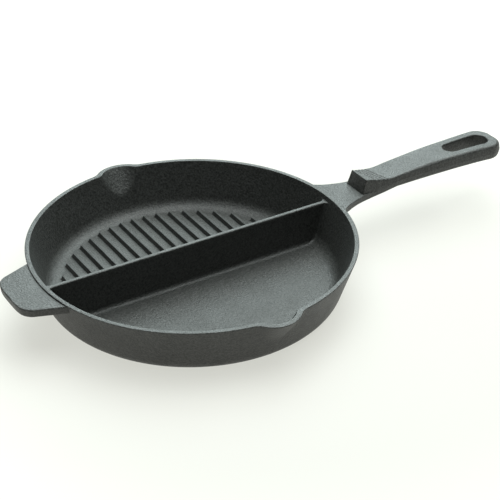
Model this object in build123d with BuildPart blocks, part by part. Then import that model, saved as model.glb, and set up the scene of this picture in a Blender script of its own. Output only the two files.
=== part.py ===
from build123d import *
from math import radians, sqrt, tan
import os

os.makedirs("parts", exist_ok=True)

# Divided cast-iron grill pan. Millimetres and degrees. The origin is the centre of the
# flat underside, +X runs along the long handle, +Y towards the ribbed half, +Z is up.

# Bowl
rim_radius = 130.0
pan_height = 43.4
rim_width = 3.7
rim_edge_radius = 1.1
wall_draft = 18.0
base_corner_radius = 13.5
floor_thickness = 5.1
floor_corner_radius = 12.0
cut_overrun = 6.0

# Pouring spouts, one on each side of the divider
spout_radius = 17.5
spout_depth = 19.4
spout_reach = 8.3
spout_blend_radius = 12.0
spout_edge_radius = 2.5
spout_lip_fall = 5.0
spout_lip_inset = 1.7
spout_wall = 4.6
spout_half_span = 30.0
spout_foot_overrun = 6.0

# Divider
divider_drop = 3.6
divider_crest = 3.6
divider_draft = 0.9
divider_foot_radius = 3.5
divider_edge_radius = 1.2
divider_seat_margin = 1.0
wall_seat_depth = 1.0

# Ribs that stand on the rear floor
rib_count = 17
rib_pitch = 11.0
rib_height = 3.8
rib_foot_width = 3.8
rib_crest_width = 2.2
rib_end_run = 2.0
rib_edge_radius = 0.4
rib_divider_gap = 6.0
rib_arc_offset = 2.8
rib_arc_radius = 102.2
floor_seam_margin = 5.5

# Helper handle, a flat tab opposite the long handle
lug_drop = 0.9
tab_reach = 156.0
tab_thickness = 6.4
tab_side_draft = 9.0
tab_root_half_width = 35.4
tab_tip_half_width = 23.0
tab_tip_crown = 2.6
tab_corner_radius = 10.0
tab_edge_radius = 1.2
lug_inset = 10.0

# Long handle, plan outline
handle_reach = 299.0
tongue_half_width = 27.0
tongue_waist_share = 0.07
tongue_waist_half_width = 18.7
neck_share = 0.34
neck_half_width = 13.6
neck_blend_radius = 40.0
block_half_width = 11.6
tail_half_width = 18.3
tail_corner_radius = 13.5

# Long handle, side outline
block_share = 0.142
seam_setback = 4.0
block_height = 11.8
block_lean = 20.0
crown_shares = ((0.284, 0.339), (0.402, 0.254), (0.580, 0.110), (0.793, 0.085), (1.0, 0.195))
brow_fall = 0.32
tail_fall = 0.11
tongue_thickness = 9.9
underside_rise = 0.16
underside_shares = ((0.178, 0.350), (0.367, 0.680), (0.720, 0.840), (1.0, 0.650))
parting_rise = 1.2
grip_draft = 9.0
underside_draft = 6.0
grip_edge_radius = 2.2
block_brow_radius = 0.8
underside_edge_radius = 3.4
tongue_edge_radius = 0.8

# Hanging slot through the tail of the handle
slot_length = 47.3
slot_tail_radius = 9.7
slot_neck_radius = 8.2
slot_wall = 6.2
slot_draft = 5.0
slot_step = 0.4
slot_lip_depth = 6.5

# Grip lines across the thumb rest
grip_line_count = 4
grip_line_pitch = 3.5
grip_line_width = 0.8
grip_line_depth = 0.5
grip_line_slant = 20.0
grip_line_share = 0.204

# Sizes that follow from the ones above
wall_lean = tan(radians(wall_draft))
base_edge = rim_radius - pan_height * wall_lean
inner_rim_radius = rim_radius - rim_width
floor_edge = inner_rim_radius - (pan_height - floor_thickness) * wall_lean
over_height = pan_height + cut_overrun
over_radius = inner_rim_radius + cut_overrun * wall_lean
divider_height = pan_height - divider_drop
divider_foot = divider_crest + 2 * (pan_height - floor_thickness) * tan(radians(divider_draft))
divider_seat = divider_foot / 2 + divider_foot_radius + divider_seat_margin
floor_seam_radius = rib_arc_radius + rib_arc_offset + floor_seam_margin
lip_start = rim_radius - spout_lip_inset
lip_end = rim_radius + spout_reach + cut_overrun
lip_end_height = pan_height - (lip_end - lip_start) * tan(radians(spout_lip_fall))
lug_top = pan_height - lug_drop
lug_start = rim_radius - lug_inset
handle_length = handle_reach - rim_radius
parting_height = pan_height + parting_rise
block_foot = rim_radius + block_share * handle_length
handle_seam = block_foot - seam_setback
block_top = lug_top + block_height
block_edge = block_foot + block_height * tan(radians(block_lean))


def bowl_shape(edge_radius, corner_radius, start_height, top_radius, top_height):
    """Flared bowl: flat bottom, round corner and a straight flared side, turned about Z."""
    with BuildPart() as shape:
        with BuildSketch(Plane.XZ) as section:
            with BuildLine():
                Polyline(
                    (0, start_height), (edge_radius, start_height),
                    (top_radius, top_height), (0, top_height), close=True,
                )
            make_face()
            corner = section.vertices().group_by(Axis.Y)[0].sort_by(Axis.X)[-1]
            fillet(corner, radius=corner_radius)
        revolve(axis=Axis.Z)
    return shape.part


def spout_shape(radius, underrun, overrun):
    """Slanting scoops of one radius, from the spouts' feet on the wall up past the rim."""
    foot_centre = inner_rim_radius - spout_depth * wall_lean - spout_radius
    lip_centre = inner_rim_radius + spout_reach - spout_radius
    spout_lean = (lip_centre - foot_centre) / spout_depth
    with BuildPart() as shape:
        for rise in (-spout_depth - underrun, overrun):
            with BuildSketch(Plane.XY.offset(pan_height + rise)):
                with Locations((0, lip_centre + rise * spout_lean)):
                    Circle(radius)
        loft(ruled=True)
        mirror(about=Plane.XZ)
    return shape.part


def rim_edges(piece):
    """Long edges of a wall piece's rim, without the seams and the creases of the lips."""
    top_edges = piece.edges().filter_by(lambda edge: edge.bounding_box().min.Z > divider_height + lug_drop)
    return top_edges.filter_by(GeomType.LINE, reverse=True)


# Outer shape of the bowl, with the bulges of the two spouts blended into the wall
with BuildPart() as bowl_blank:
    add(bowl_shape(base_edge, base_corner_radius, 0, rim_radius, pan_height))
    add(spout_shape(spout_radius + spout_wall, spout_foot_overrun, 0))
    fillet(bowl_blank.edges().filter_by(GeomType.BSPLINE), radius=spout_blend_radius)

# The two compartments: the space that the wall, the floor and the divider leave free
with BuildPart() as compartments:
    add(bowl_shape(floor_edge, floor_corner_radius, floor_thickness, over_radius, over_height))
    with BuildSketch(Plane.YZ):
        with BuildLine():
            Polyline(
                (-divider_foot / 2, floor_thickness), (divider_foot / 2, floor_thickness),
                (divider_crest / 2, pan_height), (divider_crest / 2, over_height),
                (-divider_crest / 2, over_height), (-divider_crest / 2, pan_height), close=True,
            )
        make_face()
    extrude(amount=rim_radius + cut_overrun, both=True, mode=Mode.SUBTRACT)
    blade_edges = compartments.edges().filter_by(
        lambda edge: abs(edge.center().Y) < divider_foot
        and edge.center().Z < pan_height
        and edge.bounding_box().size.Y < divider_foot
        and edge.bounding_box().min.Z < divider_height
    )
    fillet(blade_edges, radius=divider_foot_radius)
    with BuildSketch(Plane.XY.offset(divider_height)):
        Circle(inner_rim_radius - divider_drop * wall_lean)
    with BuildSketch(Plane.XY.offset(over_height)):
        Circle(over_radius)
    loft(ruled=True)
    add(spout_shape(spout_radius, 0, cut_overrun))
    scoop_edges = compartments.edges().filter_by(
        lambda edge: edge.bounding_box().size.Z > spout_depth / 2
        and abs(edge.center().Y) > inner_rim_radius - spout_radius
    )
    fillet(scoop_edges, radius=spout_edge_radius)

# Whole bowl casting, from which the bowl's pieces are taken. Each lip falls outward.
with BuildPart() as bowl:
    add(bowl_blank.part)
    add(compartments.part, mode=Mode.SUBTRACT)
    with BuildSketch(Plane.YZ):
        with BuildLine():
            Polyline(
                (lip_start, pan_height), (lip_end, lip_end_height),
                (lip_end, over_height), (lip_start, over_height), close=True,
            )
        make_face()
        mirror(about=Plane.XZ)
    extrude(amount=spout_half_span, both=True, mode=Mode.SUBTRACT)

# Ribs square to the divider, drafted on all sides. Their far ends follow the round floor.
rib_start = divider_foot / 2 + rib_divider_gap
crest_height = floor_thickness + rib_height
with BuildPart() as ribs:
    for index in range(rib_count):
        rib_x = (index - (rib_count - 1) / 2) * rib_pitch
        rib_length = rib_arc_offset + sqrt(rib_arc_radius**2 - rib_x**2) - rib_start
        with BuildSketch(Plane.XY.offset(floor_thickness)):
            with Locations((rib_x, rib_start + rib_length / 2)):
                Rectangle(rib_foot_width, rib_length)
        with BuildSketch(Plane.XY.offset(crest_height)):
            with Locations((rib_x, rib_start + rib_length / 2)):
                Rectangle(rib_crest_width, rib_length - 2 * rib_end_run)
        loft(ruled=True)
    fillet(ribs.edges().group_by(Axis.Z)[-1], radius=rib_edge_radius)

# Ribbed floor of the rear compartment
with BuildPart() as grill_floor:
    add(bowl.part)
    with BuildSketch():
        Circle(floor_seam_radius)
        with Locations((0, divider_seat)):
            Rectangle(2 * rim_radius, rim_radius, align=(Align.CENTER, Align.MIN), mode=Mode.INTERSECT)
    extrude(amount=pan_height, mode=Mode.INTERSECT)
    add(ribs.part)

# Smooth floor of the front compartment
with BuildPart() as flat_floor:
    add(bowl.part)
    with BuildSketch():
        Circle(floor_seam_radius)
        with Locations((0, -divider_seat)):
            Rectangle(2 * rim_radius, rim_radius, align=(Align.CENTER, Align.MAX), mode=Mode.INTERSECT)
    extrude(amount=pan_height, mode=Mode.INTERSECT)

# Space that the divider takes up: between the floors and into a shallow seat in the wall
with BuildPart() as divider_space:
    add(bowl_shape(
        floor_edge + wall_seat_depth, floor_corner_radius, floor_thickness,
        inner_rim_radius + wall_seat_depth, pan_height,
    ))
    with BuildSketch():
        Circle(floor_seam_radius)
    extrude(amount=floor_thickness + wall_seat_depth)
    with BuildSketch():
        Rectangle(2 * rim_radius, 2 * divider_seat)
    extrude(amount=divider_height, mode=Mode.INTERSECT)

# Divider: an upright blade with round feet, and the strip of floor below it
with BuildPart() as divider:
    add(bowl.part)
    add(divider_space.part, mode=Mode.INTERSECT)
    crest_edges = divider.edges().filter_by(
        lambda edge: edge.length > rim_radius and edge.center().Z > divider_height - divider_edge_radius
    )
    fillet(crest_edges, radius=divider_edge_radius)

# Wall and rim on the helper handle's side, between the two spouts
with BuildPart() as helper_side_wall:
    add(bowl.part)
    with BuildSketch():
        with Locations((-spout_half_span, 0)):
            Rectangle(2 * rim_radius, 2 * rim_radius, align=(Align.MAX, Align.CENTER))
        Circle(floor_seam_radius, mode=Mode.SUBTRACT)
    extrude(amount=pan_height, mode=Mode.INTERSECT)
    add(divider_space.part, mode=Mode.SUBTRACT)
    fillet(rim_edges(helper_side_wall), radius=rim_edge_radius)

# Wall and rim on the long handle's side
with BuildPart() as handle_side_wall:
    mirror(helper_side_wall.part, about=Plane.YZ)

# Wall segment with the pouring spout on the smooth side
with BuildPart() as front_spout:
    add(bowl.part)
    with BuildSketch():
        Rectangle(2 * spout_half_span, 2 * rim_radius, align=(Align.CENTER, Align.MAX))
        Circle(floor_seam_radius, mode=Mode.SUBTRACT)
    extrude(amount=pan_height, mode=Mode.INTERSECT)
    fillet(rim_edges(front_spout), radius=rim_edge_radius)

# Wall segment with the pouring spout on the ribbed side
with BuildPart() as rear_spout:
    mirror(front_spout.part, about=Plane.XZ)

# Helper handle: drafted tab with round corners and a slightly bowed end
with BuildPart() as helper_handle:
    tip_x = tab_tip_crown - tab_reach
    with BuildSketch(Plane.XY.offset(lug_top)) as tab_plan:
        with BuildLine():
            Polyline(
                (tip_x, tab_tip_half_width), (-lug_start, tab_root_half_width),
                (-lug_start, -tab_root_half_width), (tip_x, -tab_tip_half_width),
            )
            ThreePointArc((tip_x, -tab_tip_half_width), (-tab_reach, 0), (tip_x, tab_tip_half_width))
        make_face()
        fillet(tab_plan.vertices().group_by(Axis.X)[0], radius=tab_corner_radius)
    extrude(amount=-tab_thickness, taper=tab_side_draft)
    outline_edges = helper_handle.edges().filter_by(
        lambda edge: abs(edge.center().Z - lug_top + tab_thickness / 2) > tab_thickness / 3
        and edge.center().X < -lug_start - tab_edge_radius
    )
    fillet(outline_edges, radius=tab_edge_radius)
    add(bowl_blank.part, mode=Mode.SUBTRACT)

# Side outline of the long handle, shared by the tongue and the grip
with BuildPart() as handle_slab:
    with BuildSketch(Plane.XZ):
        with BuildLine():
            crown_points = [
                (rim_radius + along * handle_length, block_top - below * block_height)
                for along, below in crown_shares
            ]
            top_line = Spline(
                (block_edge, block_top), *crown_points,
                tangents=((1, -brow_fall), (1, -tail_fall)),
            )
            under_points = [
                (rim_radius + along * handle_length, lug_top - tongue_thickness + above * tongue_thickness)
                for along, above in underside_shares
            ]
            under_line = Spline(
                (lug_start, lug_top - tongue_thickness), *under_points,
                tangents=((1, underside_rise), (1, -tail_fall)),
            )
            Polyline(top_line @ 0, (block_foot, lug_top), (lug_start, lug_top), under_line @ 0)
            Line(under_line @ 1, top_line @ 1)
        make_face()
    extrude(amount=tongue_half_width, both=True)

# Tongue: flares from the neck of the grip to the bowl
with BuildPart() as tongue:
    with BuildSketch(Plane.XY.offset(lug_top)) as tongue_outline:
        with BuildLine():
            flare = ThreePointArc(
                (lug_start, -tongue_half_width),
                (rim_radius + tongue_waist_share * handle_length, -tongue_waist_half_width),
                (block_foot, -neck_half_width),
            )
            Polyline(
                flare @ 1, (rim_radius + neck_share * handle_length, -neck_half_width),
                (rim_radius + neck_share * handle_length, 0), (lug_start, 0), flare @ 0,
            )
        make_face()
        mirror(about=Plane.XZ)
        neck_corners = tongue_outline.vertices().filter_by(
            lambda corner: abs(corner.X - block_foot) < seam_setback
        )
        fillet(neck_corners, radius=neck_blend_radius)
    extrude(amount=-block_height, taper=underside_draft)
    add(handle_slab.part, mode=Mode.INTERSECT)
    under_edges = tongue.edges().filter_by(
        lambda edge: edge.bounding_box().max.Z < lug_top - underside_edge_radius
        and edge.bounding_box().size.X > neck_half_width
    )
    fillet(under_edges, radius=underside_edge_radius)
    top_edges = tongue.edges().filter_by(
        lambda edge: edge.bounding_box().min.Z > lug_top - tongue_edge_radius
        and edge.bounding_box().size.X > neck_half_width
    )
    fillet(top_edges, radius=tongue_edge_radius)
    add(bowl_blank.part, mode=Mode.SUBTRACT)

# Grip: drafted both ways from its parting plane, with round edges
with BuildPart() as grip:
    with BuildSketch(Plane.XY.offset(parting_height)) as grip_outline:
        with BuildLine():
            Polyline(
                (block_foot, 0), (block_foot, -block_half_width), (handle_reach, -tail_half_width),
                (handle_reach, 0), close=True,
            )
        make_face()
        mirror(about=Plane.XZ)
        fillet(grip_outline.vertices().group_by(Axis.X)[-1], radius=tail_corner_radius)
    extrude(amount=block_height, taper=grip_draft)
    extrude(grip_outline.sketch, amount=-block_height, taper=underside_draft)
    add(handle_slab.part, mode=Mode.INTERSECT)
    crown_edges = grip.edges().filter_by(
        lambda edge: edge.bounding_box().min.Z > block_top - block_height / 2
        and edge.bounding_box().max.X > block_edge + grip_edge_radius
    )
    fillet(crown_edges, radius=grip_edge_radius)
    brow_edges = grip.edges().filter_by(
        lambda edge: edge.bounding_box().min.Z > block_top - grip_edge_radius
        and edge.bounding_box().max.X < block_edge + grip_edge_radius
        and edge.bounding_box().size.Y > grip_edge_radius
    )
    fillet(brow_edges, radius=block_brow_radius)
    low_edges = grip.edges().filter_by(
        lambda edge: edge.bounding_box().max.Z < parting_height - underside_edge_radius / 2
        and edge.bounding_box().size.X > underside_edge_radius
    )
    fillet(low_edges, radius=underside_edge_radius)

# Tongue piece of the handle, up to the seam in front of the block
with BuildPart() as handle_root:
    add(tongue.part)
    split(bisect_by=Plane.YZ.offset(handle_seam), keep=Keep.BOTTOM)

# Shallow slanted grip lines that follow the hollow of the thumb rest
with BuildPart() as grip_lines:
    with BuildSketch(Plane.XY.offset(lug_top)):
        for index in range(grip_line_count):
            line_x = rim_radius + grip_line_share * handle_length + index * grip_line_pitch
            with Locations(Location((line_x, 0), grip_line_slant)):
                Rectangle(grip_line_width, 2 * neck_half_width)
    extrude(amount=block_height)
    add(handle_slab.part.moved(Location((0, 0, -grip_line_depth))), mode=Mode.SUBTRACT)

# Space of the hanging slot: drafted lip above, a slightly wider hollow below
tail_centre = handle_reach - slot_wall - slot_tail_radius
neck_centre = tail_centre + slot_tail_radius - slot_length + slot_neck_radius
with BuildPart() as slot_space:
    for height, widening in (
        (block_top, 0), (block_top - slot_lip_depth, -slot_lip_depth * tan(radians(slot_draft))),
    ):
        with BuildSketch(Plane.XY.offset(height)):
            with BuildLine():
                CenterArc((tail_centre, 0), slot_tail_radius + widening, 0, 360)
                CenterArc((neck_centre, 0), slot_neck_radius + widening, 0, 360)
            make_hull()
    loft(ruled=True)
    with BuildSketch(Plane.XY.offset(block_top - slot_lip_depth)):
        with BuildLine():
            CenterArc((tail_centre, 0), slot_tail_radius + slot_step, 0, 360)
            CenterArc((neck_centre, 0), slot_neck_radius + slot_step, 0, 360)
        make_hull()
    extrude(amount=-block_height - cut_overrun)

# Grip piece: the block, the thumb rest, the shank and the hanging slot
with BuildPart() as handle_grip:
    add(tongue.part)
    split(bisect_by=Plane.YZ.offset(handle_seam), keep=Keep.TOP)
    add(grip.part)
    add(grip_lines.part, mode=Mode.SUBTRACT)
    add(slot_space.part, mode=Mode.SUBTRACT)

grill_floor.part.label = "grill_floor"
export_step(grill_floor.part, "parts/grill_floor.step")
flat_floor.part.label = "flat_floor"
export_step(flat_floor.part, "parts/flat_floor.step")
divider.part.label = "divider"
export_step(divider.part, "parts/divider.step")
helper_side_wall.part.label = "helper_side_wall"
export_step(helper_side_wall.part, "parts/helper_side_wall.step")
handle_side_wall.part.label = "handle_side_wall"
export_step(handle_side_wall.part, "parts/handle_side_wall.step")
rear_spout.part.label = "rear_spout"
export_step(rear_spout.part, "parts/rear_spout.step")
front_spout.part.label = "front_spout"
export_step(front_spout.part, "parts/front_spout.step")
helper_handle.part.label = "helper_handle"
export_step(helper_handle.part, "parts/helper_handle.step")
handle_root.part.label = "handle_root"
export_step(handle_root.part, "parts/handle_root.step")
handle_grip.part.label = "handle_grip"
export_step(handle_grip.part, "parts/handle_grip.step")
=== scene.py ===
import bmesh
import bpy
import numpy as np
from mathutils import Matrix


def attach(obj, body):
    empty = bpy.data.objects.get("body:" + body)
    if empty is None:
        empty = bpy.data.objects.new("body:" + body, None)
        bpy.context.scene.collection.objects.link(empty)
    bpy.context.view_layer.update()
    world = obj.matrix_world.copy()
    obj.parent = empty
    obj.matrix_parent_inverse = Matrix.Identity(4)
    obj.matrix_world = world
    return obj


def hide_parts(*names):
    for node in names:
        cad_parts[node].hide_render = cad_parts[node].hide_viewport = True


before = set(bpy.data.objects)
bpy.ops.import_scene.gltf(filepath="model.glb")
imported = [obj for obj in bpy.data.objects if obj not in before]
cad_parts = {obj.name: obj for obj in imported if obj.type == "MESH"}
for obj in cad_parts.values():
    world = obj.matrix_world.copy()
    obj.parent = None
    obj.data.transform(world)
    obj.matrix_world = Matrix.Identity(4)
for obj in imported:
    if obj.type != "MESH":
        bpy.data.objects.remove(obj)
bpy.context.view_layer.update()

# Camera
# The pan is seen from above the smooth half, with the helper handle near the lens and the
# long handle away from it. A long lens from more than a metre keeps the two rims parallel.
mm = 0.001
camera_azimuth = np.radians(31.77)
camera_elevation = np.radians(31.84)
camera_roll = np.radians(0.31)
camera_distance = 1157.8 * mm
frame_centre_right = 44.86 * mm
frame_centre_down = 9.25 * mm
aim_height = 43.37 * mm
focal_pixels = 1484.0
picture_pixels = 500.0
sensor_width = 36.0

level_forward = np.array([np.sin(camera_azimuth), np.cos(camera_azimuth), 0.0])
level_right = np.array([np.cos(camera_azimuth), -np.sin(camera_azimuth), 0.0])
upward = np.array([0.0, 0.0, 1.0])
look = level_forward * np.cos(camera_elevation) - upward * np.sin(camera_elevation)
level_up = level_forward * np.sin(camera_elevation) + upward * np.cos(camera_elevation)
right = level_right * np.cos(camera_roll) + level_up * np.sin(camera_roll)
up = level_up * np.cos(camera_roll) - level_right * np.sin(camera_roll)
camera_place = (
    upward * aim_height + right * frame_centre_right - up * frame_centre_down - look * camera_distance
)

camera = bpy.data.objects.new("camera", bpy.data.cameras.new("camera"))
camera.data.sensor_width = sensor_width
camera.data.lens = sensor_width * focal_pixels / picture_pixels
camera.data.clip_end = 20.0
camera.matrix_world = Matrix(np.vstack([np.column_stack([right, up, -look, camera_place]), [0, 0, 0, 1]]))
bpy.context.scene.collection.objects.link(camera)
bpy.context.scene.camera = camera


# Floor and light
# A white table that glows as if lit from below: painted light, which also lights the outside of
# the bowl. The glow is dimmer near the pan than further out, a painted soft shadow round the
# bowl, and the rest is clean white.
# One soft box hangs over the pan and three stand behind it, all a little cooler than the table.
def linear_colour(code):
    """Turns an sRGB hex colour into the linear red, green, blue and alpha that a shader takes."""
    share = np.array([int(code[start:start + 2], 16) for start in (1, 3, 5)]) / 255.0
    linear = np.where(share > 0.04045, ((share + 0.055) / 1.055) ** 2.4, share / 12.92)
    return (*linear, 1.0)


def add_node(material, kind, settings=None, inputs=None):
    """Adds a shader node, sets its properties and inputs, and links an input that is given a socket."""
    node = material.node_tree.nodes.new(kind)
    for key, value in (settings or {}).items():
        setattr(node, key, value)
    for key, value in (inputs or {}).items():
        if isinstance(value, bpy.types.NodeSocket):
            material.node_tree.links.new(value, node.inputs[key])
        else:
            node.inputs[key].default_value = value
    return node


def new_material(name):
    """An empty node material with its output, ready for a shader."""
    material = bpy.data.materials.new(name)
    material.use_nodes = True
    material.node_tree.nodes.clear()
    return material


bpy.context.scene.view_settings.view_transform = "Standard"

table_half = 6.0
table_corners = [(x * table_half, y * table_half, 0) for x, y in ((-1, -1), (1, -1), (1, 1), (-1, 1))]
table_mesh = bpy.data.meshes.new("table")
table_mesh.from_pydata(table_corners, [], [(0, 1, 2, 3)])
table = bpy.data.objects.new("table", table_mesh)
bpy.context.scene.collection.objects.link(table)

# The dimmer glow near the pan is a painted soft shadow, centred a little off the pan's middle.
painted_shadow_glow, full_glow = 0.62, 0.99
painted_shadow_radius, full_radius = 180 * mm, 500 * mm
painted_shadow_centre = (60 * mm, -60 * mm, 0.0)

glowing_table_finish = new_material("glowing_table_with_painted_shadow")
from_painted_shadow_centre = add_node(glowing_table_finish, "ShaderNodeVectorMath", {"operation": "DISTANCE"}, {
    0: add_node(glowing_table_finish, "ShaderNodeTexCoord").outputs["Object"], 1: painted_shadow_centre,
})
glow = add_node(glowing_table_finish, "ShaderNodeMapRange", {"interpolation_type": "SMOOTHSTEP"}, {
    "Value": from_painted_shadow_centre.outputs["Value"], "From Min": painted_shadow_radius, "From Max": full_radius,
    "To Min": painted_shadow_glow, "To Max": full_glow,
})
glowing_table_shader = add_node(glowing_table_finish, "ShaderNodeBsdfPrincipled", inputs={
    "Base Color": linear_colour("#7c7b79"),
    "Roughness": 0.9,
    "Specular IOR Level": 0.1,
    "Emission Color": linear_colour("#fefff6"),
    "Emission Strength": glow.outputs["Result"],
})
add_node(glowing_table_finish, "ShaderNodeOutputMaterial", inputs={"Surface": glowing_table_shader.outputs["BSDF"]})
table_mesh.materials.append(glowing_table_finish)

surroundings = bpy.data.worlds.new("studio")
surroundings.use_nodes = True
surroundings.node_tree.nodes["Background"].inputs["Color"].default_value = linear_colour("#f2f6f5")
surroundings.node_tree.nodes["Background"].inputs["Strength"].default_value = 0.02
bpy.context.scene.world = surroundings


def soft_light(name, azimuth, elevation, distance, width, height, power, colour):
    """A rectangular soft box that faces the pan, by its direction seen from the pan in degrees,
    its distance and size in metres, and its power in watts."""
    data = bpy.data.lights.new(name, "AREA")
    data.shape = "RECTANGLE"
    data.size = width
    data.size_y = height
    data.energy = power
    data.color = linear_colour(colour)[:3]
    turn, lift = np.radians(azimuth), np.radians(elevation)
    back = np.array([np.sin(turn) * np.cos(lift), np.cos(turn) * np.cos(lift), np.sin(lift)])
    side = np.array([np.cos(turn), -np.sin(turn), 0.0])
    light = bpy.data.objects.new(name, data)
    light.matrix_world = Matrix(np.vstack([
        np.column_stack([side, np.cross(back, side), back, back * distance]), [0, 0, 0, 1],
    ]))
    bpy.context.scene.collection.objects.link(light)
    return light


daylight, cool_daylight = "#f4fbf9", "#ecfcfb"
soft_light("overhead_box", 20.0, 88.0, 1.7, 1.6, 1.6, 34.0, daylight)
soft_light("high_back_box", 31.8, 45.0, 2.0, 1.6, 1.0, 32.0, cool_daylight)
soft_light("low_back_box", 31.8, 16.0, 2.6, 2.2, 0.7, 26.0, cool_daylight)
soft_light("right_box", 80.0, 62.0, 1.7, 1.6, 1.2, 23.5, daylight)

# Bowl
# One thin wall turned round the upright axis, with a flat underside, a round foot and an 18
# degree flare, and a pouring spout pressed out at each end of the cross axis. A straight blade
# stands across it. Moulded in sand and cast with the handles in one pour of grey iron.
rim_radius = 130.15
pan_height = 43.6
rim_width = 3.7
rim_rounding = 0.5
wall_draft = np.radians(18.0)
foot_rounding = 13.5
floor_height = 5.1
floor_rounding = 12.0
base_edge = rim_radius - pan_height * np.tan(wall_draft)
inner_rim_radius = rim_radius - rim_width
floor_edge = inner_rim_radius - (pan_height - floor_height) * np.tan(wall_draft)

spout_radius = 17.5
spout_wall = 4.6
spout_reach = 8.3
spout_depth = 19.4
spout_blend = 12.0
scoop_blend = 8.0
spout_softening = 1.2
scoop_softening = 0.7
lip_start = 128.3
lip_fall = np.tan(np.radians(5.0))
lip_centre = inner_rim_radius + spout_reach - spout_radius
foot_centre = inner_rim_radius - spout_depth * np.tan(wall_draft) - spout_radius
spout_lean = (lip_centre - foot_centre) / spout_depth

blade_top = 39.8
blade_crest = 3.6
blade_draft = np.radians(0.9)
blade_foot_rounding = 3.5
blade_edge_rounding = 1.2
blade_end_rounding = 3.0
blade_end_flare = 1.2
flare_start = 29.0
blade_foot = blade_crest / 2 + (pan_height - floor_height) * np.tan(blade_draft)
pocket_bottom = 2.0


def flared_side(rise, lean, rounding):
    """How far a leaning side stands out at a rise above its floor, measured from where side and
    floor would meet: a quarter-like arc that leaves the floor, then the straight slope."""
    arc_rise = rounding * (1 - np.sin(lean))
    on_arc = np.sqrt(np.maximum(rounding**2 - (rounding - np.clip(rise, 0, arc_rise)) ** 2, 0))
    return np.where(rise < arc_rise, on_arc - rounding * np.tan((np.pi / 2 - lean) / 2), rise * np.tan(lean))


def with_spouts(angle, height, wall, radius, blend, softening):
    """Distance from the axis to a round wall with the two spouts on it. Each spout is a circle
    whose centre moves out as it rises, and an arc that touches both joins circle and wall."""
    off_axis = np.arccos(np.clip(np.abs(np.sin(angle)), 0, 1))
    excess = lip_centre - (pan_height - height) * spout_lean + radius - wall
    centre = wall - radius + (excess + np.sqrt(excess**2 + softening**2)) / 2
    far, near = wall + blend, radius + blend
    blend_angle = np.arccos(np.clip((far**2 + centre**2 - near**2) / (2 * far * centre), -1, 1))
    touch_along = centre + radius * (far * np.cos(blend_angle) - centre) / near
    touch_across = radius * far * np.sin(blend_angle) / near
    touch_angle = np.arctan2(touch_across, touch_along)
    circle = centre * np.cos(off_axis) + np.sqrt(np.maximum(radius**2 - (centre * np.sin(off_axis)) ** 2, 0))
    turned = off_axis - blend_angle
    joining = far * np.cos(turned) - np.sqrt(np.maximum(blend**2 - (far * np.sin(turned)) ** 2, 0))
    return np.where(off_axis < touch_angle, circle, np.where(off_axis < blend_angle, joining, wall))


def outer_wall(angle, height):
    """Distance from the axis to the outside of the bowl."""
    wall = base_edge + flared_side(height, wall_draft, foot_rounding)
    return with_spouts(angle, height, wall, spout_radius + spout_wall, spout_blend, spout_softening)


def inner_wall(angle, height):
    """Distance from the axis to the inside of the bowl."""
    wall = floor_edge + flared_side(height - floor_height, wall_draft, floor_rounding)
    return with_spouts(angle, height, wall, spout_radius, scoop_blend, scoop_softening)


def ring(angle, radius, height):
    """Points at a distance from the upright axis, by angle from the long handle."""
    angle, radius, height = np.broadcast_arrays(angle, radius, height)
    return np.stack([radius * np.cos(angle), radius * np.sin(angle), height], axis=-1)


def rounded(before, corner, after, radius, steps):
    """Arcs that round corners, one row of points per step. Each arc lies in the plane of its
    corner's two sides and touches both; its centre is on the line that halves the corner."""
    def unit(vector):
        return vector / np.linalg.norm(vector, axis=-1, keepdims=True)

    back, ahead = unit(before - corner), unit(after - corner)
    half = np.arccos(np.clip(np.sum(back * ahead, axis=-1), -1, 1))[..., None] / 2
    radius = np.broadcast_to(np.asarray(radius, float)[..., None], half.shape)
    centre = corner + unit(back + ahead) * radius / np.sin(half)
    reach = radius / np.tan(half)
    start, end = corner + back * reach - centre, corner + ahead * reach - centre
    sweep = np.pi - 2 * half
    share = np.linspace(0, 1, steps + 1).reshape(-1, *([1] * corner.ndim))
    return centre + (np.sin((1 - share) * sweep) * start + np.sin(share * sweep) * end) / np.sin(sweep)


def between(first, last, steps):
    """Rows of points in equal steps from one row to another, both ends included."""
    share = np.linspace(0, 1, steps + 1).reshape(-1, *([1] * first.ndim))
    return first + (last - first) * share


weld_distance = 0.002
sharp_angle = np.radians(32.0)


def weld(name, grids):
    """One closed mesh from grids of points in millimetres, rows by columns. Grids that share the
    points of an edge are joined there, and the faces are turned outwards."""
    points, faces, count = [], [], 0
    for grid in grids:
        rows, columns = grid.shape[:2]
        number = count + np.arange(rows * columns).reshape(rows, columns)
        corners = [number[:-1, :-1], number[:-1, 1:], number[1:, 1:], number[1:, :-1]]
        faces.append(np.stack(corners, -1).reshape(-1, 4))
        points.append(grid.reshape(-1, 3))
        count += rows * columns
    mesh = bpy.data.meshes.new(name)
    mesh.from_pydata((np.concatenate(points) * mm).tolist(), [], np.concatenate(faces).tolist())
    joined = bmesh.new()
    joined.from_mesh(mesh)
    bmesh.ops.remove_doubles(joined, verts=joined.verts, dist=weld_distance * mm)
    bmesh.ops.recalc_face_normals(joined, faces=joined.faces)
    joined.to_mesh(mesh)
    joined.free()
    mesh.shade_smooth()
    mesh.set_sharp_from_angle(angle=sharp_angle)
    return mesh
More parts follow.
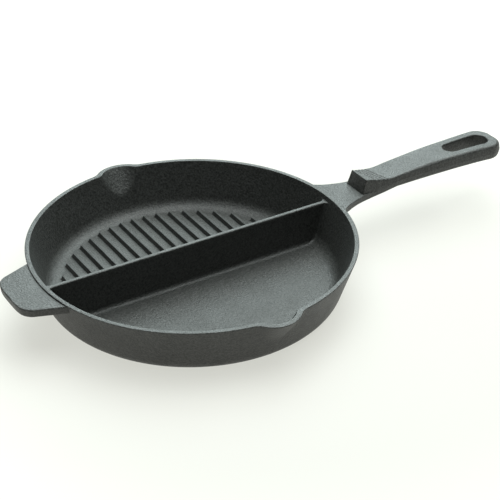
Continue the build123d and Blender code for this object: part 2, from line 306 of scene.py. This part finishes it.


# Cast iron, moulded in sand and seasoned with baked oil: a dark, dull film over the grain that
# the sand left. It has a broad soft sheen, finer sparkle on the grain, and no bright metal. The
# grain's colour carries painted shade in its pits and painted glints on its peaks.
def seasoned_iron():
    """The pan's one finish, with three sizes of unevenness on it, in millimetres: the grain of
    the sand, drawn about twice as coarse as it is so that it shows, the waves of the casting
    and the patches of oil. Noise planes are turned, so that none lies along a flat face."""
    sand_grain, grain_depth = 1.5, 0.5
    casting_wave, wave_depth = 9.0, 0.4
    oil_patch = 26.0
    dull, duller = 0.44, 0.54
    # Painted shade for the grain's pits and painted glints for its peaks.
    pit_shade_colour, peak_glint_colour = linear_colour("#1c1d1b"), linear_colour("#3e3f3d")
    finish = new_material("seasoned_cast_iron")
    place = add_node(finish, "ShaderNodeMapping", inputs={
        "Vector": add_node(finish, "ShaderNodeTexCoord").outputs["Object"],
        "Rotation": (0.6, 0.4, 0.2),
    }).outputs["Vector"]
    grain = add_node(finish, "ShaderNodeTexNoise", inputs={
        "Vector": place, "Scale": 1 / (sand_grain * mm), "Detail": 3.0, "Roughness": 0.6,
    })
    wave = add_node(finish, "ShaderNodeTexNoise", inputs={
        "Vector": place, "Scale": 1 / (casting_wave * mm), "Detail": 2.0,
    })
    patch = add_node(finish, "ShaderNodeTexNoise", inputs={
        "Vector": place, "Scale": 1 / (oil_patch * mm), "Detail": 3.0,
    })
    film = add_node(finish, "ShaderNodeMapRange", inputs={
        "Value": patch.outputs["Fac"], "From Min": 0.3, "From Max": 0.7, "To Min": dull, "To Max": duller,
    })
    # The grain's colour follows its height: dark in the pits as painted shade, light on the peaks as painted
    # glints.
    grain_shade_and_glint = add_node(finish, "ShaderNodeMapRange", inputs={
        "Value": grain.outputs["Fac"], "From Min": 0.36, "From Max": 0.64,
    })
    colour = add_node(finish, "ShaderNodeMix", {"data_type": "RGBA"}, {
        "Factor": grain_shade_and_glint.outputs["Result"], "A": pit_shade_colour, "B": peak_glint_colour,
    })
    swell = add_node(finish, "ShaderNodeBump", inputs={
        "Height": wave.outputs["Fac"], "Strength": 0.25, "Distance": wave_depth * mm,
    })
    bumps = add_node(finish, "ShaderNodeBump", inputs={
        "Height": grain.outputs["Fac"], "Strength": 1.0, "Distance": grain_depth * mm,
        "Normal": swell.outputs["Normal"],
    })
    shader = add_node(finish, "ShaderNodeBsdfPrincipled", inputs={
        "Base Color": colour.outputs["Result"], "Roughness": film.outputs["Result"],
        "Normal": bumps.outputs["Normal"],
    })
    add_node(finish, "ShaderNodeOutputMaterial", inputs={"Surface": shader.outputs["BSDF"]})
    return finish


def rear_section(height):
    """Closed outline of the rear compartment at each height, seen as a D: a small arc at each end
    of the blade, the blade's face between them and the wall round the back."""
    rise = height - floor_height
    wall = floor_edge + flared_side(rise, wall_draft, floor_rounding)
    crest = np.clip(height - (blade_top - blade_edge_rounding), 0, blade_edge_rounding)
    face = blade_foot - flared_side(rise, blade_draft, blade_foot_rounding)
    face = face - blade_edge_rounding + np.sqrt(blade_edge_rounding**2 - crest**2)
    flare = np.clip((height - flare_start) / (blade_top - flare_start), 0, 1)
    end = blade_end_rounding + blade_end_flare * flare**2
    end_x = np.sqrt((wall - end) ** 2 - (face + end) ** 2)
    end_angle = np.arctan2(face + end, end_x)
    turn = end_angle + (-np.pi / 2 - end_angle) * end_shares
    near_end = np.stack([end_x + end * np.cos(turn), face + end + end * np.sin(turn)], -1)
    blade_x = end_x * blade_shares
    blade_face = np.stack([blade_x, face + 0 * blade_x], -1)
    far_end = near_end[:, ::-1] * [-1, 1]
    angle = end_angle + arc_shares * (np.pi - 2 * end_angle)
    reach = inner_wall(angle, height)
    back = np.stack([reach * np.cos(angle), reach * np.sin(angle)], -1)
    outline = np.concatenate([near_end, blade_face[:, 1:-1], far_end, back[:, 1:]], axis=1)
    upright = np.broadcast_to(height[..., None], (*outline.shape[:2], 1))
    return np.concatenate([outline, upright], axis=-1), end_angle


end_shares = np.linspace(0, 1, 13)
blade_shares = np.linspace(1, -1, 41)
arc_shares = np.linspace(1, 0, 3)
_, top_end_angle = rear_section(np.array([[blade_top]]))
end_angle = float(top_end_angle[0, 0])
spout_span = np.radians(13.0)
coarse_step, fine_step = np.radians(0.9), np.radians(0.16)
quarter = np.pi / 2
coarse = np.linspace(end_angle, quarter - spout_span, round((quarter - spout_span - end_angle) / coarse_step))
fine = np.linspace(quarter - spout_span, quarter + spout_span, round(2 * spout_span / fine_step))
rear_angles = np.concatenate([coarse[:-1], fine[:-1], np.pi - coarse[::-1]])
end_angles = end_angle * np.linspace(-1, 1, 13)
arc_shares = ((rear_angles - end_angle) / (np.pi - 2 * end_angle))[::-1]
around = np.concatenate([
    rear_angles[:-1], np.pi + end_angles[:-1], np.pi + rear_angles[:-1], 2 * np.pi + end_angles,
])


def rim_height(angle, wall):
    """Height of the rim above a wall: level, but falling outwards on the spouts' lips."""
    height = np.full_like(angle, pan_height)
    for _ in range(4):
        reach = np.abs(wall(angle, height) * np.sin(angle))
        height = pan_height - lip_fall * np.maximum(reach - lip_start, 0)
    return height


below_rim = 2.0
outer_top, inner_top = rim_height(around, outer_wall), rim_height(around, inner_wall)
outer_corner = ring(around, outer_wall(around, outer_top), outer_top)
inner_corner = ring(around, inner_wall(around, inner_top), inner_top)
outer_below = ring(around, outer_wall(around, outer_top - below_rim), outer_top - below_rim)
inner_below = ring(around, inner_wall(around, inner_top - below_rim), inner_top - below_rim)
outer_arc = rounded(outer_below, outer_corner, inner_corner, np.full(len(around), rim_rounding), 6)
inner_arc = rounded(outer_corner, inner_corner, inner_below, np.full(len(around), rim_rounding), 6)

flat_edge = base_edge - foot_rounding * np.tan((quarter - wall_draft) / 2)
foot_turns = np.linspace(0, quarter - wall_draft, 12)[:, None]
foot_rises = foot_rounding * (1 - np.cos(foot_turns))
foot_rows = ring(around, outer_wall(around, foot_rises + 0 * around), foot_rises)
underside = ring(around, np.array([[0.0], [0.4], [0.8]]) * flat_edge, 0.0)
side_shares = np.linspace(0, 1, 18)[1:, None]
side_heights = foot_rises[-1] + side_shares * (outer_arc[0, :, 2] - foot_rises[-1])
side_rows = ring(around, outer_wall(around, side_heights), side_heights)
lining_shares = np.linspace(0, 1, 5)[1:, None]
lining_heights = inner_arc[-1, :, 2] + lining_shares * (blade_top - inner_arc[-1, :, 2])
lining_rows = ring(around, inner_wall(around, lining_heights), lining_heights)
shell = np.concatenate([underside, foot_rows, side_rows, outer_arc[1:], inner_arc, lining_rows])

low_turns = np.linspace(0, quarter - wall_draft, 20)
low_heights = floor_height + floor_rounding * (1 - np.cos(low_turns))
high_heights = np.linspace(low_heights[-1], blade_top - blade_edge_rounding, 18)[1:]
crest_heights = blade_top - blade_edge_rounding * (1 - np.sin(np.linspace(0, quarter, 7)[1:]))
rear_rows, _ = rear_section(np.concatenate([low_heights, high_heights, crest_heights])[:, None])
pocket_edge = rear_rows[:1] * [1, 1, 0] + [0, 0, pocket_bottom]
pocket_middle = np.broadcast_to([0, rim_radius / 2, pocket_bottom], pocket_edge.shape)
rear_space = np.concatenate([pocket_middle, pocket_edge, rear_rows])

blade_line = rear_rows[-1, :2 * len(end_shares) + len(blade_shares) - 2]
across = (np.sin(end_angles) / np.sin(end_angle))[:, None]
crest_plane = np.stack([
    blade_line[:, 0] + 0 * across, blade_line[:, 1] * across, blade_top + 0 * blade_line[:, 2] * across,
], -1)
blade_reach = np.hypot(*blade_line[0, :2])
crest_plane[:, 0, 0] = blade_reach * np.cos(end_angles)
crest_plane[:, -1, 0] = -blade_reach * np.cos(end_angles)

iron = seasoned_iron()


def add_piece(name, mesh, nodes):
    """Puts a finished mesh in the scene as cast iron that stands for the named nodes."""
    piece = bpy.data.objects.new(name, mesh)
    bpy.context.scene.collection.objects.link(piece)
    mesh.materials.append(iron)
    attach(piece, "root")
    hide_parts(*nodes)
    return piece


bowl_mesh = weld("bowl", [shell, rear_space, rear_space * [1, -1, 1], crest_plane])
add_piece("bowl", bowl_mesh, [
    "helper_side_wall", "handle_side_wall", "rear_spout", "front_spout", "divider",
])

# Floors
# Seventeen ribs stand on the rear floor, square to the blade, drafted on all sides so that they
# leave the sand. They start a few millimetres behind the blade, and their far ends follow the
# curve where the floor begins to round up into the wall. The front floor is smooth.
rib_count = 17
rib_pitch = 11.0
rib_height = 3.8
rib_foot_width = 3.8
rib_crest_width = 2.2
rib_end_run = 2.0
rib_foot_rounding = 0.6
rib_crest_rounding = 0.4
rib_start = 8.4
rib_arc_offset = 2.8
rib_arc_radius = 102.2
slab_radius = 107.0
slab_start = 5.0
slab_bottom = 1.5

rib_side_run = (rib_foot_width - rib_crest_width) / 2
rib_foot = np.array([0.0, 0.0, 0.0])
rib_crest = np.array([rib_side_run, 0.0, rib_height])
rib_side = np.concatenate([
    rounded(rib_foot - [1, 0, 0], rib_foot, rib_crest, np.array(rib_foot_rounding), 4),
    rounded(rib_foot, rib_crest, rib_crest + [1, 0, 0], np.array(rib_crest_rounding), 6),
])
inset, rise = rib_side[:, 0], rib_side[:, 2]
end_inset = inset * rib_end_run / rib_side_run

rib_x = (np.arange(rib_count) - (rib_count - 1) / 2) * rib_pitch
side_x = np.concatenate([inset - rib_foot_width / 2, (rib_foot_width / 2 - inset)[::-1]])
floor_x = (rib_x[:, None] + side_x).ravel()
column_rib_x = np.repeat(rib_x, len(side_x))
column_rise = np.tile(np.concatenate([rise, rise[::-1]]), rib_count)
slab_reach = np.sqrt(slab_radius**2 - slab_start**2)
margin_x = np.linspace(floor_x[-1], slab_reach, 12)[1:]
floor_x = np.concatenate([-margin_x[::-1], floor_x, margin_x])
column_rib_x = np.pad(column_rib_x, len(margin_x), mode="edge")
column_rise = np.pad(column_rise, len(margin_x))
slab_end = np.sqrt(np.maximum(slab_radius**2 - floor_x**2, slab_start**2))
rib_end = rib_arc_offset + np.sqrt(rib_arc_radius**2 - column_rib_x**2)


def floor_slab(name, run_y, standing, side):
    """Closed slab under a compartment: its top follows a grid of rises, its edge is a D that
    reaches a little way under the rounded corner of the wall. Side is 1 for the rear, -1 for the front."""
    last = np.argmin(np.abs(floor_x + margin_x[0]))
    share = (run_y - slab_start) / (slab_end[None] - slab_start + (slab_end[None] == slab_start))
    for columns in (np.arange(last + 1), np.arange(len(floor_x) - 1, len(floor_x) - 2 - last, -1)):
        inside = columns[-1]
        share[:, columns] = ((run_y[:, inside] - slab_start) / (slab_end[inside] - slab_start))[:, None]
    y = slab_start + share * (slab_end - slab_start)
    top = np.stack([np.broadcast_to(floor_x, y.shape), side * y, floor_height + standing], -1)
    under = top[[0, -1]] * [1, 1, 0] + [0, 0, slab_bottom]
    return weld(name, [np.concatenate([under[:1], top, under[1:], under[:1]])])


start_rows = rib_start + end_inset[:, None] + 0 * floor_x
end_rows = rib_end - end_inset[::-1, None]
run_y = np.concatenate([
    slab_start + 0 * floor_x[None], start_rows, between(start_rows[-1], end_rows[0], 10)[1:-1],
    end_rows, slab_end[None],
])
run_rise = np.concatenate([[0], rise, np.full(9, rib_height), rise[::-1], [0]])
ribs = np.minimum(run_rise[:, None], column_rise)
add_piece("grill_floor", floor_slab("grill_floor", run_y, ribs, 1), ["grill_floor"])

plain_y = slab_start + np.linspace(0, 1, 13)[:, None] * (slab_end - slab_start)
add_piece("flat_floor", floor_slab("flat_floor", plain_y, 0 * plain_y, -1), ["flat_floor"])

# Helper handle
# A flat tab cast on the side opposite the long handle, level with the rim but for a millimetre,
# with round corners, a slightly bowed end and drafted edges. Two hands lift the full pan.
tab_top = 42.5
tab_thickness = 7.0
tab_draft = np.radians(9.0)
tab_rounding = 1.2
tab_tip = -156.2
tab_crown = 2.6
tab_corner_rounding = 13.5
tab_root_place = np.array([-123.6, 35.3, 0.0])
tab_corner = np.array([tab_tip + tab_crown, 24.3, 0.0])
tab_root_reach = -128.3


def bar_half(outer, inner_top, inner_bottom, side, shape):
    """Half of a drafted bar, as rows of points round its section: from the middle of the top out
    to the rounded top edge, down the two drafted sides that meet at the parting line, round the
    bottom edge and back to the middle of the underside. Columns follow the outline in plan."""
    along = np.gradient(outer, axis=0)
    outward = np.stack([-along[:, 1], along[:, 0]], -1) / np.linalg.norm(along, axis=-1)[:, None]
    outward = outward * shape["turn"]

    def at(plan, height):
        """Points over plan positions, on the side of the bar that is being made."""
        return np.stack([plan[..., 0], side * plan[..., 1], height], -1)

    def on_side(height, x):
        """Points on the drafted side at a height: the outline, moved in by the draft."""
        up = np.maximum(height - shape["parting"](x), 0) * np.tan(shape["upper_draft"])
        down = np.maximum(shape["parting"](x) - height, 0) * np.tan(shape["lower_draft"])
        return at(outer - outward * ((up + down) * shape["draft_share"])[:, None], height)

    x = outer[:, 0]
    top_z, bottom_z = shape["top"](x, side * outer[:, 1]), shape["bottom"](x)
    top_corner, low_corner = on_side(top_z, x), on_side(bottom_z, x)
    middle = np.clip(shape["parting"](x), bottom_z, top_z)
    depth = top_z - bottom_z
    top_inner = at(inner_top, shape["top"](inner_top[:, 0], side * inner_top[:, 1]))
    low_inner = at(inner_bottom, shape["bottom"](inner_bottom[:, 0]))
    level = [1, 1, 0]
    toward_top = top_corner + (top_inner - top_corner) * level + 1e-6
    toward_low = low_corner + (low_inner - low_corner) * level + 1e-6
    below_top, above_low = on_side(top_z - depth / 4, x), on_side(bottom_z + depth / 4, x)
    top_arc = rounded(below_top, top_corner, toward_top, shape["top_rounding"](x), 8)[::-1]
    low_arc = rounded(above_low, low_corner, toward_low, shape["low_rounding"](x), 8)
    top_rows = between(top_inner, top_arc[0], shape["top_steps"])
    top_rows[..., 2] = shape["top"](top_rows[..., 0], top_rows[..., 1])
    low_rows = between(low_arc[-1], low_inner, 8)
    low_rows[..., 2] = shape["bottom"](low_rows[..., 0])
    high, low = top_arc[-1, :, 2], low_arc[0, :, 2]
    crease = np.clip(middle, low + shape["crease"], high - shape["crease"])
    heights = np.concatenate([
        between(high, crease + shape["crease"], 4), crease[None], between(crease - shape["crease"], low, 4),
    ])
    sides = np.stack([on_side(height, x) for height in heights[1:-1]])
    return np.concatenate([top_rows, top_arc[1:], sides, low_arc, low_rows[1:]])


def end_cap(section):
    """Fan that closes the hidden end of a bar, from its first or last section to its middle."""
    return np.stack([section, np.broadcast_to((section[0] + section[-1]) / 2, section.shape)])


tab_bow_end = tab_corner + [-2 * tab_crown, -tab_corner[1], 0]
corner_arc = rounded(tab_root_place, tab_corner, tab_bow_end, np.array(tab_corner_rounding), 16)[:, :2]
bow_start_x, bow_start_y = corner_arc[-1]
bow_power = 2 * tab_crown / tab_corner[1] * bow_start_y / (bow_start_x - tab_tip)
bow_y = bow_start_y * np.linspace(1, 0, 14)[1:]
bow = np.stack([tab_tip + (bow_start_x - tab_tip) * (bow_y / bow_start_y) ** bow_power, bow_y], -1)
tab_side = between(tab_root_place[:2], corner_arc[0], 16)[:-1]
tab_outer = np.concatenate([tab_side, corner_arc, bow])
tab_shares = np.linspace(0, 1, len(tab_outer))
tab_inner_x = tab_root_reach + (tab_tip + tab_rounding + 2 - tab_root_reach) * tab_shares
tab_inner = np.stack([tab_inner_x, 0 * tab_inner_x], -1)
tab_shape = {
    "turn": -1, "draft_share": np.ones(len(tab_outer)), "upper_draft": 0.0, "lower_draft": tab_draft,
    "top": lambda x, y: tab_top + 0 * x, "bottom": lambda x: tab_top - tab_thickness + 0 * x,
    "parting": lambda x: tab_top + 0 * x, "top_steps": 10, "crease": 0.1,
    "top_rounding": lambda x: tab_rounding + 0 * x, "low_rounding": lambda x: tab_rounding + 0 * x,
}
tab_halves = [bar_half(tab_outer, tab_inner, tab_inner, side, tab_shape) for side in (1, -1)]
tab_caps = [end_cap(half[:, 0]) for half in tab_halves]
add_piece("helper_handle", weld("helper_handle", tab_halves + tab_caps), ["helper_handle"])

# Long handle
# The tongue flares from the narrow neck to the bowl and carries the thumb rest: a block with a
# sloping face, hollowed behind it and cut with fine slanting grip lines. The shank behind it
# widens to a round end with a long tapered slot to hang the pan by. A parting line runs along it.
tongue_top = 42.5
tongue_root = 125.4
tongue_root_reach = 128.3
tongue_hidden_end = 194.0
tongue_top_rounding = 0.8
tongue_low_rounding = (150, 178), (2.4, 1.6)
block_foot = 154.0
block_half_width = 11.8
block_lean = np.tan(np.radians(20.0))
block_corner_rounding = 1.4
lean_fade = 15.0
handle_reach = 300.6
tail_half_width = 18.3
tail_rounding = 13.5
upper_draft, lower_draft = np.radians(9.0), np.radians(11.0)
grip_top_rounding = (154, 160, 190, 212), (0.8, 1.3, 1.5, 3.0)
grip_low_rounding = (285, 297), (3.6, 5.5)

tongue_widths = (
    (120, 30.5), (127.3, 25.5), (133.5, 21.1), (139.5, 18.4), (145.5, 16.3), (151, 14.8),
    (156, 13.8), (162, 13.0), (170, 12.5), (182, 12.45), (194, 12.4),
)
crown_line = (
    (154, 55.2), (158.2, 54.2), (163.7, 53.1), (168, 52.0), (174, 50.9), (180, 50.3), (186, 50.5),
    (192, 51.1), (204, 52.2), (216, 53.2), (228, 53.8), (252, 54.1), (276, 54.1), (288, 53.8), (299, 53.3),
)
under_line = (
    (120, 34.3), (135, 34.6), (145, 35.4), (160, 36.1), (173, 37.3), (180.5, 38.4), (192.5, 39.4),
    (205, 40.0), (217, 40.4), (241, 40.9), (266, 40.9), (279, 40.6), (288, 40.1), (299, 39.4),
)
parting_line = (
    (150, 42.6), (160, 42.6), (170, 42.7), (176, 43.4), (182, 44.7), (190, 46.1), (200, 46.9), (215, 47.0),
    (299, 47.0),
)


def smooth_line(x, stations):
    """Height or width along the handle: a smooth curve through stations, with each station's
    slope taken from its neighbours and a cubic between them."""
    place, value = np.array(stations, float).T
    slope = np.gradient(value, place)
    x = np.clip(x, place[0], place[-1])
    index = np.clip(np.searchsorted(place, x) - 1, 0, len(place) - 2)
    span = place[index + 1] - place[index]
    share = (x - place[index]) / span
    start, end = value[index], value[index + 1]
    bend = share * (1 - share) * span
    return (
        start + (end - start) * share**2 * (3 - 2 * share)
        + bend * (1 - share) * slope[index] - bend * share * slope[index + 1]
    )


hide_start, hide_end, hidden_by = 178.0, 194.0, 1.2


def hidden_share(x):
    """Grows from none to one where the tongue disappears into the grip."""
    return np.clip((x - hide_start) / (hide_end - hide_start), 0, 1)


flare_end = 160.0
tongue_x = np.concatenate([
    np.linspace(tongue_root, flare_end, 60)[:-1], np.linspace(flare_end, tongue_hidden_end, 24),
])
tongue_outer = np.stack([tongue_x, smooth_line(tongue_x, tongue_widths)], -1)
tongue_inner_x = np.linspace(tongue_root_reach, tongue_hidden_end, len(tongue_x))
tongue_inner = np.stack([tongue_inner_x, 0 * tongue_inner_x], -1)
tongue_shape = {
    "turn": 1, "draft_share": np.ones(len(tongue_x)), "upper_draft": 0.0, "lower_draft": lower_draft,
    "top": lambda x, y: tongue_top + 0 * x,
    "bottom": lambda x: smooth_line(x, under_line) + hidden_by * hidden_share(x),
    "parting": lambda x: tongue_top + 0 * x, "top_steps": 8, "crease": 0.1,
    "top_rounding": lambda x: tongue_top_rounding + 0 * x,
    "low_rounding": lambda x: np.interp(x, *tongue_low_rounding),
}
tongue_halves = [bar_half(tongue_outer, tongue_inner, tongue_inner, side, tongue_shape) for side in (1, -1)]
tongue_caps = [end_cap(half[:, column]) for half in tongue_halves for column in (0, -1)]
add_piece("handle_root", weld("handle_root", tongue_halves + tongue_caps), ["handle_root"])

grip_line_x = (164.4, 167.9, 171.4, 174.9)
grip_line_slant = np.tan(np.radians(20.0))
grip_line_width = 0.45
grip_line_depth = 0.6


def grip_top(x, y):
    """Height of the grip's top over a plan position before the block is leant back, with the
    slanting grip lines sunk into it."""
    leant = x
    for _ in range(4):
        leant = lean_back(x, smooth_line(leant, crown_line))
    along = leant + y * grip_line_slant
    lines = sum(np.exp(-((along - place) / grip_line_width) ** 2) for place in grip_line_x)
    return smooth_line(leant, crown_line) - grip_line_depth * lines


def lean_back(x, height):
    """Moves the block's front points back as they rise, less and less behind its face."""
    fade = np.clip(1 - (x - block_foot) / lean_fade, 0, 1)
    return x + np.maximum(height - tongue_top, 0) * block_lean * fade


front_corner = rounded(
    np.array([block_foot, 0.0, 0.0]), np.array([block_foot, block_half_width, 0.0]),
    np.array([handle_reach, tail_half_width, 0.0]), np.array(block_corner_rounding), 8,
)[:, :2]
tail_corner = rounded(
    np.array([block_foot, block_half_width, 0.0]), np.array([handle_reach, tail_half_width, 0.0]),
    np.array([handle_reach, 0.0, 0.0]), np.array(tail_rounding), 24,
)[:, :2]

slot_tail_x, slot_tail_radius = 283.1, 8.4
slot_neck_x, slot_neck_radius = 253.7, 7.1
slot_top_rounding = 1.2
slot_draft = np.tan(np.radians(2.0))
slot_step = 0.4
slot_step_height = 47.8
slot_foot_rounding = 0.6
slot_start_x = 238.0
slot_lean = np.arcsin((slot_tail_radius - slot_neck_radius) / (slot_tail_x - slot_neck_x))


def side_points(first, last, steps):
    """Points on the straight side of the grip's outline, between two places along the handle."""
    x = np.linspace(first, last, steps + 1)
    share = (x - front_corner[-1, 0]) / (tail_corner[0, 0] - front_corner[-1, 0])
    return front_corner[-1] + (tail_corner[0] - front_corner[-1]) * share[:, None]


thumb_end = 184.0
neck_touch = slot_neck_x - tail_half_width * np.tan(slot_lean)
tail_touch = slot_tail_x - tail_half_width * np.tan(slot_lean)
plain_outline = np.concatenate([
    between(np.array([block_foot, 0.0]), front_corner[0], 10), front_corner[1:],
    side_points(front_corner[-1, 0], thumb_end, 90)[1:], side_points(thumb_end, slot_start_x, 30)[1:],
])
slot_outline = np.concatenate([
    side_points(slot_start_x, neck_touch, 16)[1:], side_points(neck_touch, tail_touch, 16)[1:],
    side_points(tail_touch, tail_corner[0, 0], 2)[1:], tail_corner[1:],
    between(tail_corner[-1], np.array([handle_reach, 0.0]), 5)[1:],
])
neck_turns = np.linspace(np.pi, quarter + slot_lean, 17)[1:]
lean_direction = np.array([np.cos(quarter + slot_lean), np.sin(quarter + slot_lean)])
tail_part = slot_outline[32:]
tail_turns = np.arctan2(tail_part[:, 1], tail_part[:, 0] - slot_tail_x)
tail_turns = np.minimum(tail_turns, quarter + slot_lean)


def slot_edge(wider):
    """Half of the slot's outline, made wider by a distance: the neck's quarter circle, the
    straight side that touches both circles, and the tail's quarter circle."""
    neck, tail = np.array([slot_neck_x, 0.0]), np.array([slot_tail_x, 0.0])
    round_neck = neck + (slot_neck_radius + wider) * np.stack([np.cos(neck_turns), np.sin(neck_turns)], -1)
    tail_start = tail + (slot_tail_radius + wider) * lean_direction
    straight = between(round_neck[-1], tail_start, 16)[1:]
    round_tail = tail + (slot_tail_radius + wider) * np.stack([np.cos(tail_turns), np.sin(tail_turns)], -1)
    return np.concatenate([round_neck, straight, round_tail])


def inner_path(wider):
    """Inner ends of the grip's columns: along its middle to the slot, then round the slot."""
    start = slot_neck_x - slot_neck_radius - wider
    front = len(plain_outline) - 120
    x = np.concatenate([
        np.linspace(block_foot + 1, block_foot + 7, front),
        np.linspace(block_foot + 7, thumb_end + 3, 91)[1:], np.linspace(thumb_end + 3, start, 31)[1:],
    ])
    return np.concatenate([np.stack([x, 0 * x], -1), slot_edge(wider)])


grip_outer = np.concatenate([plain_outline, slot_outline])
grip_along = np.gradient(grip_outer, axis=0)
facing_side = np.abs(grip_along[:, 0]) / np.linalg.norm(grip_along, axis=-1)
grip_shape = {
    "turn": 1, "draft_share": np.where(grip_outer[:, 0] < slot_start_x, facing_side, 1.0),
    "upper_draft": upper_draft, "lower_draft": lower_draft, "top": grip_top,
    "bottom": lambda x: smooth_line(x, under_line) + hidden_by * (1 - hidden_share(x)),
    "parting": lambda x: smooth_line(x, parting_line), "top_steps": 24, "crease": 0.15,
    "top_rounding": lambda x: np.interp(x, *grip_top_rounding),
    "low_rounding": lambda x: np.interp(x, *grip_low_rounding),
}
slot_low_wider = slot_step + slot_foot_rounding


def slot_wall(side):
    """Wall of the hanging slot: a rounded top edge, a drafted lip, a step out to the wider hollow
    below it and a small rounding at the underside."""
    def at(wider, height):
        edge = slot_edge(wider)
        start = np.array([[slot_neck_x - slot_neck_radius - wider, 0.0]])
        edge = np.concatenate([start, edge])
        return np.stack([edge[:, 0], side * edge[:, 1], height + 0 * edge[:, 0]], -1)

    above, edge_place = at(slot_top_rounding, 0.0), at(0.0, 0.0)
    top_z = smooth_line(edge_place[:, 0], crown_line)
    out_z = smooth_line(above[:, 0], crown_line)
    under_z = smooth_line(at(slot_low_wider, 0.0)[:, 0], under_line)
    drop = 2.0
    rim = rounded(
        at(slot_top_rounding, out_z), at(0.0, top_z), at(-drop * slot_draft, top_z - drop),
        np.full(len(top_z), slot_top_rounding), 6,
    )
    lip_end = at(-(top_z - slot_step_height).mean() * slot_draft, slot_step_height)
    hollow_top = at(slot_step, slot_step_height)
    foot_z = smooth_line(at(slot_step, 0.0)[:, 0], under_line)
    foot = rounded(
        at(slot_step, foot_z + drop), at(slot_step, foot_z), at(slot_low_wider, under_z),
        np.full(len(foot_z), slot_foot_rounding), 4,
    )
    return np.concatenate([
        at(slot_top_rounding, out_z)[None], rim, between(rim[-1], lip_end, 3)[1:],
        between(lip_end, hollow_top, 2)[1:], between(hollow_top, foot[0], 3)[1:], foot[1:],
        at(slot_low_wider, under_z)[None],
    ])


grip_halves = [
    bar_half(grip_outer, inner_path(slot_top_rounding), inner_path(slot_low_wider), side, grip_shape)
    for side in (1, -1)
]
grip_grids = grip_halves + [slot_wall(side) for side in (1, -1)]
for grid in grip_grids:
    grid[..., 0] = lean_back(grid[..., 0], grid[..., 2])
add_piece("handle_grip", weld("handle_grip", grip_grids), ["handle_grip"])
